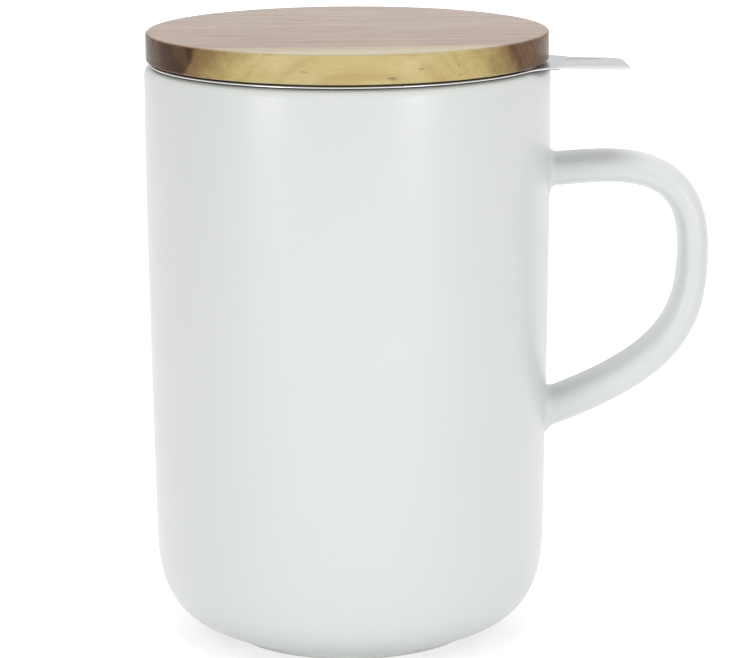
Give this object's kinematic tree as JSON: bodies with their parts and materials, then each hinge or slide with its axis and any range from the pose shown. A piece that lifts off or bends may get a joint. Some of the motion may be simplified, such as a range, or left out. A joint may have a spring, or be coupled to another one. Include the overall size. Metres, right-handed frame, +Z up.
{
  "type": "tea mug",
  "caption": "Tall ceramic tea mug with a strap handle, a lift-out perforated steel infuser with a finger tab, and a wooden plug lid with a silicone seal",
  "frame": {"origin": "centre of the foot ring, on the surface that the mug stands on", "axes": "+Z up along the mug's axis, +X towards the handle"},
  "size_m": [0.1199, 0.086, 0.1306],
  "materials": {
    "glaze": "satin off-white glaze",
    "steel": "satin stainless sheet",
    "wood": "oiled acacia, pale sapwood with brown heartwood",
    "silicone": "matt milky silicone"
  },
  "bodies": {
    "mug": {"mug_body": "glaze", "mug_handle": "glaze"},
    "infuser": {"infuser_rim": "steel", "infuser_sleeve": "steel", "infuser_base": "steel"},
    "lid": {"lid_disc": "wood", "lid_gasket": "silicone"}
  },
  "joints": [
    {"name": "infuser_lift", "type": "slide", "parent": "mug", "child": "infuser", "axis": [0, 0, 1], "range_m": [0, 0.1]},
    {"name": "lid_lift", "type": "slide", "parent": "infuser", "child": "lid", "axis": [0, 0, 1], "range_m": [0, 0.06]}
  ]
}
